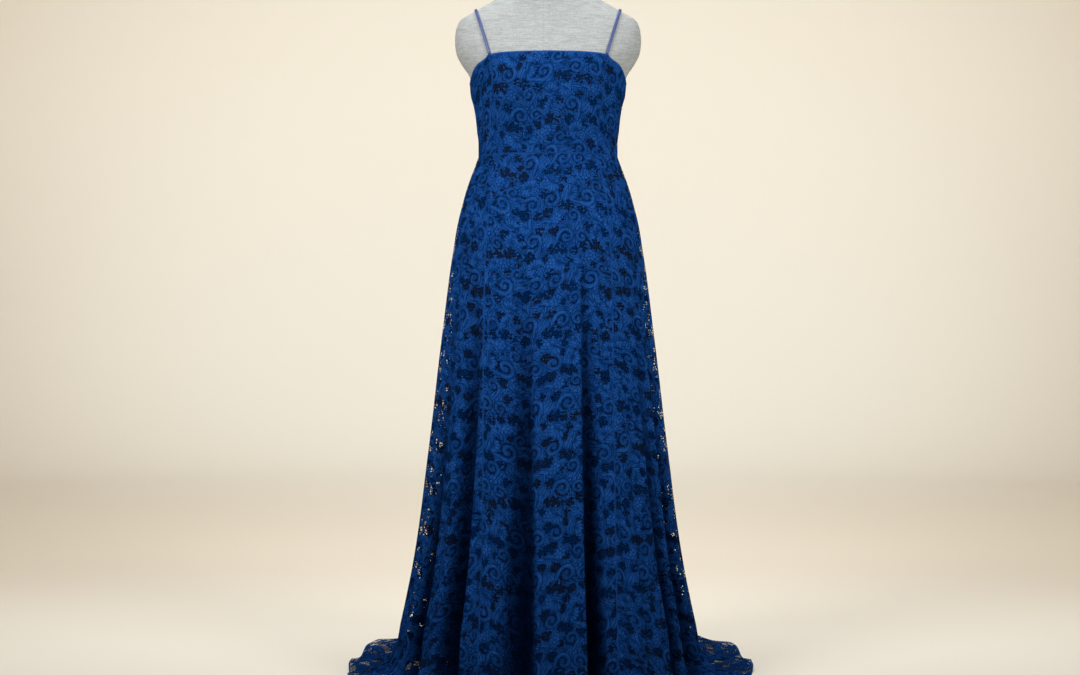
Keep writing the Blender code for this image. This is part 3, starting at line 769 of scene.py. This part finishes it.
class Shade:
    """A node material; most methods add a node and return its output."""

    def __init__(self, name):
        self.material = bpy.data.materials.new(name)
        self.material.use_nodes = True
        self.tree = self.material.node_tree
        self.surface = self.tree.nodes["Principled BSDF"]

    def put(self, socket, value):
        if isinstance(value, bpy.types.NodeSocket):
            self.tree.links.new(value, socket)
        elif isinstance(value, tuple):
            socket.default_value = (*value, 1)
        else:
            socket.default_value = value

    def node(self, kind, inputs, **settings):
        made = self.tree.nodes.new("ShaderNode" + kind)
        for name, value in settings.items():
            setattr(made, name, value)
        for name, value in inputs.items():
            self.put(made.inputs[name], value)
        return made

    def set(self, **inputs):
        for name, value in inputs.items():
            self.put(self.surface.inputs[name.replace("_", " ")], value)

    def attribute(self, name):
        return self.node("Attribute", {}, attribute_name=name).outputs["Vector"]

    def parts(self, vector):
        return self.node("SeparateXYZ", {"Vector": vector}).outputs

    def place(self):
        return self.node("TexCoord", {}).outputs["Object"]

    def triple(self, x, y, z=0.0):
        return self.node("CombineXYZ", {"X": x, "Y": y, "Z": z}).outputs[0]

    def math(self, operation, a, b=0.0):
        return self.node("Math", {0: a, 1: b}, operation=operation).outputs[0]

    def times(self, a, b):
        return self.math("MULTIPLY", a, b)

    def plus(self, a, b):
        return self.math("ADD", a, b)

    def less(self, a, b):
        return self.math("SUBTRACT", a, b)

    def square(self, value):
        return self.math("POWER", value, 2.0)

    def opposite(self, share):
        return self.less(1.0, share)

    def grained(self, grain, colours, bump, relief, **surface):
        """The finished material, with a grain in its colour and its surface."""
        normal = self.bump(grain, bump, relief)
        self.set(Base_Color=self.blend(grain, *colours), Normal=normal, **surface)
        return self.material

    def step(self, value, low, high):
        """0 below low, 1 above high, and smooth between them."""
        inputs = {"Value": value, "From Min": low, "From Max": high}
        return self.node("MapRange", inputs, interpolation_type="SMOOTHSTEP").outputs["Result"]

    def blend(self, share, a, b):
        made = self.node("Mix", {}, data_type="RGBA")
        self.put(made.inputs[0], share)
        self.put(made.inputs[6], a)
        self.put(made.inputs[7], b)
        return made.outputs[2]

    def noise(self, vector, scale, detail=2.0):
        inputs = {"Vector": vector, "Scale": scale, "Detail": detail}
        return self.node("TexNoise", inputs).outputs[0]

    def cells(self, vector, scale, randomness):
        inputs = {"Vector": vector, "Scale": scale, "Randomness": randomness}
        made = self.node("TexVoronoi", inputs, voronoi_dimensions="2D", feature="DISTANCE_TO_EDGE")
        return made.outputs["Distance"]

    def bump(self, height, strength=1.0, distance=0.001):
        inputs = {"Height": height, "Strength": strength, "Distance": distance}
        return self.node("Bump", inputs).outputs["Normal"]


# Lace colours: the cloth's threads, the lines drawn on them, the net, and the painted shade of deep
# folds and the hem
THREAD_BLUE = (0.0065, 0.056, 0.255)
THREAD_BRIGHT = (0.0190, 0.110, 0.440)
LINE_NAVY = (0.0007, 0.014, 0.070)
NET_BLUE = (0.0022, 0.028, 0.125)
NET_GREY = (0.0085, 0.022, 0.068)
PAINTED_SHADE_NAVY = (0.0002, 0.0012, 0.008)

# The net: its mesh in metres, how uneven it is, and where its thread thins out
NET_PITCH = 0.0054
NET_UNEVEN = 0.75
NET_THREAD = (0.12, 0.20)

# How far the outlines, the lines in the motifs and the net's edge stray, in mm
OUTLINE_STRAY = 4.5
INK_STRAY = 2.0
NET_STRAY = 12.0
NET_DRIFT = 5.5

# Where the solid borders along a free edge and a seam end, and the line of stitches on
# the seam, in metres
EDGE_BORDER = (0.0030, 0.0038)
SEAM_BORDER = (0.0012, 0.0018)
STITCH_LINE = (0.0004, 0.0009)
STITCH_DARK = 0.8

# The dark lines drawn on the lace: the distance that each follows and how far off, where
# it is full and where it ends, in mm, and how dark it is
LINES = table("along off full ends dark", [
    ("inside", 0.0, 0.4, 1.3, 1.0),
    ("top", 0.0, 0.4, 1.3, 1.0),
    ("ink", 0.0, 0.2, 1.1, 0.9),
    ("inside", 3.4, 0.3, 1.1, 0.7),
    ("inside", -3.0, 0.1, 0.9, 0.5),
    ("net", 2.0, 0.2, 1.0, 0.75),
])

# Colours of the plain materials, each from its grain's darkest to its lightest
LINING_NAVY = (0.0006, 0.008, 0.034), (0.0014, 0.015, 0.058)
STRAP_BLUE = (0.055, 0.085, 0.270), (0.085, 0.122, 0.350)
LINEN_GREY = (0.37, 0.40, 0.415), (0.57, 0.61, 0.625)
STEEL_GREY = (0.50, 0.50, 0.51), (0.60, 0.60, 0.61)
WOOD_PALE = (0.40, 0.34, 0.27), (0.56, 0.50, 0.42)

# The form's front seam: its place, its line, how close its stitches are, and its colour
FRONT_SEAM_X = -0.010
FRONT_SEAM_LINE = (0.0006, 0.0012)
STITCH_RATE = 900.0
SEAM_GREY = (0.22, 0.23, 0.24)


def lace_material():
    """Solid blue cloth drawn over with dark lines, and patches of fine open net in it."""
    shade = Shade("lace")
    inside, top, ink = shade.parts(shade.attribute("lace"))
    # The third part is the painted shade of the folds and the hem
    net, edge, fold = shade.parts(shade.attribute("net_edge_shade"))
    u, v, seam = shade.parts(shade.attribute("cloth"))
    cloth = shade.triple(u, v)

    stray = shade.less(shade.noise(cloth, 240.0, 3.0), 0.5)
    inside = shade.plus(inside, shade.times(stray, OUTLINE_STRAY))
    top = shade.plus(top, shade.times(stray, OUTLINE_STRAY))
    ink = shade.plus(ink, shade.times(stray, INK_STRAY))
    torn = shade.less(shade.noise(shade.triple(shade.times(u, 0.5), v), 230.0, 3.0), 0.5)
    drift = shade.less(shade.noise(cloth, 17.0), 0.5)
    net = shade.plus(net, shade.times(torn, NET_STRAY))
    net = shade.plus(net, shade.times(drift, NET_DRIFT))
    net = shade.math("MINIMUM", net, shade.times(top, -1.0))
    inner = shade.times(shade.step(edge, *EDGE_BORDER), shade.step(seam, *SEAM_BORDER))
    open_net = shade.times(shade.step(net, -0.2, 0.3), inner)
    solid = shade.opposite(open_net)

    distances = {"inside": inside, "top": top, "ink": ink, "net": net}
    lines = 0.0
    for line in LINES:
        off = shade.math("ABSOLUTE", shade.plus(distances[line.along], line.off))
        drawn = shade.times(shade.opposite(shade.step(off, line.full, line.ends)), line.dark)
        lines = shade.math("MAXIMUM", lines, drawn)
    stitches = shade.times(shade.opposite(shade.step(seam, *STITCH_LINE)), STITCH_DARK)
    lines = shade.math("MAXIMUM", shade.times(lines, inner), stitches)

    streak = shade.noise(shade.triple(u, shade.times(v, 0.12)), 520.0, 3.0)
    tone = shade.plus(shade.times(streak, 0.7), shade.times(shade.noise(cloth, 40.0), 0.6))
    blue = shade.blend(shade.step(tone, 0.40, 0.90), THREAD_BLUE, THREAD_BRIGHT)
    blue = shade.blend(shade.times(lines, 0.85), blue, LINE_NAVY)
    thread = shade.opposite(shade.step(shade.cells(cloth, 1 / NET_PITCH, NET_UNEVEN), *NET_THREAD))
    net_colour = shade.blend(shade.step(shade.noise(cloth, 11.0), 0.42, 0.62), NET_BLUE, NET_GREY)
    colour = shade.blend(open_net, blue, net_colour)
    relief = shade.less(solid, shade.times(lines, 0.6))
    # The painted shade darkens the colour to navy in the folds and towards the hem
    shade.set(
        Base_Color=shade.blend(fold, colour, PAINTED_SHADE_NAVY),
        Alpha=shade.math("MAXIMUM", solid, thread),
        Roughness=0.8,
        Specular_IOR_Level=0.0,
        Normal=shade.bump(relief, 0.7, 0.0006),
    )
    return shade.material


def lining_material():
    """Smooth dark navy cloth with a faint weave."""
    shade = Shade("lining")
    weave = shade.noise(shade.place(), 1400.0)
    return shade.grained(weave, LINING_NAVY, 0.2, 0.0003, Roughness=0.7, Specular_IOR_Level=0.05)


def strap_material():
    """Satin ribbon with a fine cross rib."""
    shade = Shade("strap")
    return shade.grained(shade.noise(shade.place(), 700.0), STRAP_BLUE, 0.25, 0.0003, Roughness=0.42)


def form_material():
    """Grey heathered linen with a faint stitched seam down the front."""
    shade = Shade("form_cloth")
    place = shade.place()
    x, y, z = shade.parts(place)
    slub = shade.noise(shade.triple(x, y, shade.times(z, 9.0)), 45.0, 4.0)
    warp = shade.noise(shade.triple(shade.times(x, 7.0), shade.times(y, 7.0), z), 60.0, 3.0)
    fleck = shade.noise(place, 420.0, 4.0)
    threads = shade.plus(shade.times(slub, 0.6), shade.times(warp, 0.3))
    tone = shade.plus(shade.times(fleck, 0.3), threads)
    grey = shade.blend(shade.step(tone, 0.40, 0.80), *LINEN_GREY)
    off = shade.math("ABSOLUTE", shade.less(x, FRONT_SEAM_X))
    dash = shade.step(shade.math("SINE", shade.times(z, STITCH_RATE)), -0.3, 0.3)
    seam = shade.times(shade.opposite(shade.step(off, *FRONT_SEAM_LINE)), dash)
    shade.set(
        Base_Color=shade.blend(shade.times(seam, 0.35), grey, SEAM_GREY),
        Roughness=0.9,
        Normal=shade.bump(fleck, 0.35, 0.0008),
    )
    return shade.material


def steel_material():
    """Satin steel with fine turning marks."""
    shade = Shade("steel")
    mark = shade.noise(shade.place(), 300.0)
    return shade.grained(mark, STEEL_GREY, 0.1, 0.0002, Roughness=0.32, Metallic=1.0)


def cap_material():
    """Pale turned wood."""
    shade = Shade("cap")
    x, y, z = shade.parts(shade.place())
    grain = shade.noise(shade.triple(shade.times(x, 6.0), y, z), 40.0, 4.0)
    return shade.grained(grain, WOOD_PALE, 0.2, 0.0004, Roughness=0.5)


def add_object(name, data):
    """Puts data in the scene as a new object."""
    made = bpy.data.objects.new(name, data)
    bpy.context.scene.collection.objects.link(made)
    return made


def make_mesh(name, points, quads, material, tail=()):
    """A smooth mesh of quads, and of other faces in tail, with one material."""
    mesh = bpy.data.meshes.new(name)
    corners = np.concatenate([quads.ravel(), *tail]).astype(np.int32)
    sizes = np.array([4] * len(quads) + [len(face) for face in tail])
    mesh.vertices.add(len(points))
    mesh.vertices.foreach_set("co", points.astype(np.float32).ravel())
    mesh.loops.add(len(corners))
    mesh.loops.foreach_set("vertex_index", corners)
    mesh.polygons.add(len(sizes))
    mesh.polygons.foreach_set("loop_start", (np.cumsum(sizes) - sizes).astype(np.int32))
    mesh.update(calc_edges=True)
    mesh.shade_smooth()
    mesh.materials.append(material)
    return add_object(name, mesh)


def grid_quads(rows, columns, closed=False):
    """Faces of a grid, whose rows run up and whose columns run towards +X."""
    wide = columns if closed else columns - 1
    r, c = np.meshgrid(np.arange(rows - 1), np.arange(wide), indexing="ij")
    a = (r * columns + c).ravel()
    b = (r * columns + (c + 1) % columns).ravel()
    return np.stack([a, b, b + columns, a + columns], axis=-1)


def make_tube(name, rings, material, closed_ends=2):
    """A mesh of closed rings, with a face over its first ring and, if 2, its last."""
    rows, columns = np.shape(rings)[:2]
    ends = [tuple(reversed(range(columns))), tuple(range((rows - 1) * columns, rows * columns))]
    quads = grid_quads(rows, columns, closed=True)
    return make_mesh(name, np.reshape(rings, (-1, 3)), quads, material, ends[:closed_ends])


def stand_for(piece, node):
    """Puts a piece on the body in the place of a solid."""
    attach(piece, "root")
    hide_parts(node)


def give(piece, name, values):
    """Stores three numbers for each point of a piece."""
    data = piece.data.attributes.new(name, "FLOAT_VECTOR", "POINT")
    data.data.foreach_set("vector", values.astype(np.float32).ravel())


def add_sheet(name, points, material):
    """A shell of cloth that stands for the solid of the same name."""
    rows, columns = points.shape[:2]
    piece = make_mesh("cloth_" + name, points.reshape(-1, 3), grid_quads(rows, columns), material)
    stand_for(piece, name)
    return piece


def lengths(points, axis):
    """Lengths along a grid's rows or columns, from its first to its last point."""
    steps = np.linalg.norm(np.diff(points, axis=axis), axis=-1)
    pad = [(0, 0), (0, 0)]
    pad[axis] = (1, 0)
    return np.cumsum(np.pad(steps, pad), axis=axis)


def lay_lace(piece, points, lay, fold, hangs):
    """Lays the repeat on a panel: u runs round from its zero and v down from its top.

    A panel that hangs is sewn to the waist at its top, and the others at their foot.
    """
    across = lengths(points, 1)
    up = lengths(points, 0)
    v = lengths(points[::-1], 0)[::-1]
    edge, waist = (up, v) if hangs else (v, up)
    u = across - across[:, [round(lay.zero * (across.shape[1] - 1))]]
    seam = np.minimum(np.minimum(across, across[:, [-1]] - across), waist)
    sway_u = u + SWAY[0] * np.sin(v / SWAY_LENGTH[0])
    sway_v = v + SWAY[1] * np.sin(u / SWAY_LENGTH[1])
    inside, top, ink, net = chart.at(sway_u + lay.across, sway_v + lay.down)
    net = net + NET_GROWTH * np.clip((WAIST - points[..., 2]) / NET_GROWTH_DROP, 0, 1)
    if lay.zero != MIDDLE:
        net = net + SIDE_OPENING * np.exp(-((u / SIDE_OPEN_WIDTH) ** 2))
    give(piece, "lace", np.stack([inside, top, ink], axis=-1).reshape(-1, 3))
    # The net, the edge's distance and the painted shade of folds and hem go in one attribute
    give(piece, "net_edge_shade", np.stack([net, edge, fold], axis=-1).reshape(-1, 3))
    give(piece, "cloth", np.stack([u, v, seam], axis=-1).reshape(-1, 3))


def gore_rows(step, start, end):
    """Skirt rows, hem first, about one step apart down the longest of three columns."""
    fine = np.linspace(0, LAST_ROW, FINE_ROWS)
    share = np.array([0.1, 0.5, 0.9])
    turns = start * (1 - share) + end * share
    points = skirt_point(turns[None, :] + 0 * fine[:, None], fine[:, None])
    along = lengths(points, 0).max(axis=1)
    count = int(along[-1] / step)
    return np.interp(np.linspace(along[-1], 0, count), along, fine)


def painted_skirt_shade(turn, height, rows, points):
    """The painted shade on each point of a gore: darker in the folds and towards the hem."""
    share, depth = trough(FOLDS, turn, height)
    flattened = train_curve["depth"](np.clip(rows - LAST_HANGING, 0, None))
    # Painted shade, deepest in a fold's trough and growing towards the hem
    deep = np.clip(depth / FOLD_DARK_DEPTH, 0, 1) ** FOLD_DEPTH_POWER
    fold = deep * share ** FOLD_SHARE_POWER * flattened * FOLD_DARKEST
    painted_hem_shade = HEM_DARKEST * np.clip(1 - points[..., 2] / HEM_DARK_HEIGHT, 0, 1) ** HEM_POWER
    return 1 - (1 - fold) * (1 - painted_hem_shade)


def build_skirt(material):
    """Five gores of lace, from the waist seam down to the hem on the floor."""
    for name, (start, end) in panel_turns("skirt", SIDE_FRONT.floor).items():
        step = BACK_STEP if "back" in name else FRONT_STEP
        rows = gore_rows(step, start, end)[:, None]
        height = row_height(np.minimum(rows, LAST_HANGING))
        low = skirt_point(np.linspace(start, end, FINE_COLUMNS), LAST_HANGING + 0.5)
        widest = float(np.linalg.norm(np.diff(low, axis=0), axis=-1).sum())
        columns = np.linspace(start, end, int(widest / step))
        turn = track(columns[None, :], height)
        points = skirt_point(turn, rows + 0 * turn)
        piece = add_sheet(name, points, material)
        # Each gore's lace carries the painted shade of its folds and its hem
        lay_lace(piece, points, LAYS[name], painted_skirt_shade(turn, height, rows, points), hangs=True)


def build_bodice(lace, lining):
    """Lace panels over a lining, both cut off at one straight neckline."""
    for name, (start, end) in panel_turns("bodice", SIDE_FRONT.waist).items():
        points = bodice_grid(start, end, LACE_LIFT, BODICE_STEP)
        piece = add_sheet(name, points, lace)
        lay_lace(piece, points, LAYS[name], np.zeros(points.shape[:2]), hangs=False)
    for name, (start, end) in {"front": (-SIDE, SIDE), "back": (SIDE, 360 - SIDE)}.items():
        points = bodice_grid(start, end, FORM_GAP + LINING, BODICE_LINING_STEP)
        piece = add_sheet("bodice_lining_" + name, points, lining)


def build_skirt_lining(material):
    """A plain flared lining of four panels that hangs inside the lace, off the floor."""
    top, hem = LINING_SKIRT[0].height, LINING_SKIRT[-1].height
    rows = np.linspace(hem, top, int((top - hem) / LINING_STEP))[:, None]
    half, front, back = (lining_line[name](rows) for name in ("half_width", "front", "back"))
    back_seam = CENTRE_BACK - LINING_SEAM
    panels = {
        "front": (-LINING_SEAM, LINING_SEAM),
        "side_left": (LINING_SEAM, back_seam),
        "side_right": (-back_seam, -LINING_SEAM),
        "back": (back_seam, 360 - back_seam),
    }
    for name, (start, end) in panels.items():
        turn = np.linspace(start, end, int((end - start) / LINING_TURN))[None, :] + 0 * rows
        part_seams(turn, half)
        x, y = oval(half, front, back, turn)
        points = np.stack([x, y, rows + 0 * x], axis=-1)
        piece = add_sheet("skirt_lining_" + name, points, material)


def build_straps(material):
    """Narrow flat straps from the neckline over the shoulders to the back edge."""
    around = np.linspace(0, 2 * math.pi, STRAP_CORNERS, endpoint=False)
    section = np.stack([np.cos(around), np.sin(around)], axis=-1)
    section = np.sign(section) * np.abs(section) ** STRAP_ROUNDNESS
    for name, side in {"strap_left": 1, "strap_right": -1}.items():
        route, normal = strap_route(side)
        along = np.gradient(route, axis=0)
        along /= np.linalg.norm(along, axis=1, keepdims=True)
        across = np.cross(normal, along)
        across /= np.linalg.norm(across, axis=1, keepdims=True)
        middle = route + normal * (FORM_GAP + STRAP_THICK / 2)
        rings = [
            centre + section[:, :1] * wide * STRAP_WIDTH / 2 + section[:, 1:] * tall * STRAP_THICK / 2
            for centre, wide, tall in zip(middle, across, normal)
        ]
        for ring in (rings[0], rings[-1]):
            ring[:, 2] = top_edge(turn_at(ring[:, 0], ring[:, 2], ring[:, 1] < 0)) + STRAP_GAP
        stand_for(make_tube("cloth_" + name, rings, material), name)


def build_form(cloth, wood, steel):
    """The smooth torso, its neck cap, pole and base."""
    turns = np.arange(FORM_SIDES) * 360 / FORM_SIDES
    heights = np.linspace(FORM[0].height, FORM[-1].height, FORM_RINGS)[:, None]
    points = form_point(heights, turns[None, :] + 0 * heights)
    stand_for(make_tube("torso_skin", points, cloth), "form_torso")
    for name, finish in {"form_neck_cap": wood, "form_pole": steel, "form_base": steel}.items():
        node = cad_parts[name]
        node.data.materials.clear()
        node.data.materials.append(finish)


# The stage: a floor out to FLOOR_RADIUS, a cove that bends it up, and a round wall
STAGE_CENTRE = 1.0
FLOOR_RADIUS = 5.6
COVE_RADIUS = 2.6
COVE_STEPS = 24
WALL_TOP = 4.4
STAGE_SIDES = 128

# Its colour, and its painted shade: darker by the squares of the ways to the side and up,
# and on the floor and the wall's foot, most of all behind the dress
CREAM_LIGHT = (0.95, 0.925, 0.84)
CREAM_DARK = (0.590, 0.525, 0.425)
DARKENING = (0.1, 3.0)
SIDE_RATE = 0.31
SIDE_ON_FLOOR = 1.7
SIDE_TOP = 2.5
HIGH_RATE = 0.28
FLOOR_FADE = (2.8, 8.0)
FLOOR_FADE_TOP = 1.25
BEHIND = (0.2, 2.0)
BEHIND_EXTRA = 0.9


def stage_material():
    """Cream with painted light and shade: brighter behind the dress, darker to the sides, high up and on
    the floor.
    """
    shade = Shade("backdrop")
    x, y, z = shade.parts(shade.place())
    rise = shade.times(shade.step(z, 0.0, SIDE_TOP), SIDE_ON_FLOOR - 1)
    side = shade.times(shade.square(shade.times(x, SIDE_RATE)), shade.less(SIDE_ON_FLOOR, rise))
    high = shade.square(shade.times(z, HIGH_RATE))
    away = shade.math("SQRT", shade.plus(shade.square(x), shade.square(y)))
    near = shade.opposite(shade.step(away, *FLOOR_FADE))
    near = shade.times(near, shade.opposite(shade.step(z, 0.0, FLOOR_FADE_TOP)))
    behind = shade.times(shade.step(y, *BEHIND), BEHIND_EXTRA)
    low = shade.plus(shade.times(near, shade.plus(1.0, behind)), high)
    # Painted shade: the cream darkens by these terms together
    dark = shade.step(shade.plus(side, low), *DARKENING)
    shade.set(
        Base_Color=shade.blend(dark, CREAM_LIGHT, CREAM_DARK),
        Roughness=0.95,
        Specular_IOR_Level=0.1,
    )
    return shade.material


def build_stage():
    """A plain cream floor that sweeps up into a round wall."""
    bend = np.linspace(0, math.pi / 2, COVE_STEPS)
    wall = FLOOR_RADIUS + COVE_RADIUS
    radius = np.concatenate([[STAGE_CENTRE], FLOOR_RADIUS + COVE_RADIUS * np.sin(bend), [wall]])
    height = np.concatenate([[0.0], COVE_RADIUS * (1 - np.cos(bend)), [WALL_TOP]])
    angle = np.linspace(0, 2 * math.pi, STAGE_SIDES, endpoint=False)
    rings = [
        np.stack([r * np.cos(angle), r * np.sin(angle), z + 0 * angle], axis=-1)
        for r, z in zip(radius, height)
    ]
    make_tube("backdrop", rings, stage_material(), closed_ends=1)


# Soft square lights: their size in metres, power in watts and spread in degrees
WHITE = (1, 1, 1)
CREAM = (1.0, 0.97, 0.93)
LIGHTS = table("name place target size power spread colour", [
    ("key", (-2.3, -2.6, 2.9), (0, 0, 1.15), 1.5, 14.5, 75, WHITE),
    ("fill", (2.4, -3.0, 2.5), (0, 0, 1.15), 1.5, 12, 75, WHITE),
    ("wall_back", (0, 0.8, 5.2), (0, 8.2, 3.0), 3.4, 432, 180, CREAM),
    ("wall_left", (-0.8, 0, 5.2), (-8.2, 0, 2.0), 3.4, 100, 180, CREAM),
    ("wall_right", (0.8, 0, 5.2), (8.2, 0, 2.0), 3.4, 100, 180, CREAM),
    ("wall_front", (0, -0.8, 5.2), (0, -8.2, 2.0), 3.4, 100, 180, CREAM),
])
WORLD_CREAM = (1.0, 0.98, 0.95, 1)
WORLD_STRENGTH = 0.06


def add_light(light):
    """A square soft light that faces its target."""
    data = bpy.data.lights.new(light.name, "AREA")
    data.spread = math.radians(light.spread)
    data.energy = light.power
    data.size = light.size
    data.color = light.colour
    lamp = add_object(light.name, data)
    lamp.location = light.place
    x, y, z = np.array(light.target) - np.array(light.place)
    lamp.rotation_euler = (math.atan2(math.hypot(x, y), -z), 0, math.atan2(x, -y) + math.pi)


def build_lights():
    """A faint even light, two soft ones on the dress and four on the wall."""
    world = bpy.data.worlds.new("studio")
    world.use_nodes = True
    background = world.node_tree.nodes["Background"]
    background.inputs["Color"].default_value = WORLD_CREAM
    background.inputs["Strength"].default_value = WORLD_STRENGTH
    bpy.context.scene.world = world
    for light in LIGHTS:
        add_light(light)


# The photograph's view
CAMERA_PLACE = (-0.0167, -3.70, 0.715)
FOCAL_PIXELS = 1773.8
FRAME_PIXELS = 1080
SENSOR = 36.0
CLIP_END = 60


def build_camera():
    """A level camera at the photograph's angle."""
    camera = bpy.data.cameras.new("camera")
    camera.sensor_width = SENSOR
    camera.lens = SENSOR * FOCAL_PIXELS / FRAME_PIXELS
    camera.clip_end = CLIP_END
    view = add_object("camera", camera)
    view.location = CAMERA_PLACE
    view.rotation_euler = (math.pi / 2, 0, 0)
    bpy.context.scene.camera = view
    bpy.context.scene.view_settings.view_transform = "Standard"


build_camera()
build_stage()
build_lights()
lace = lace_material()
lining = lining_material()
build_form(form_material(), cap_material(), steel_material())
build_bodice(lace, lining)
build_skirt(lace)
build_skirt_lining(lining)
build_straps(strap_material())
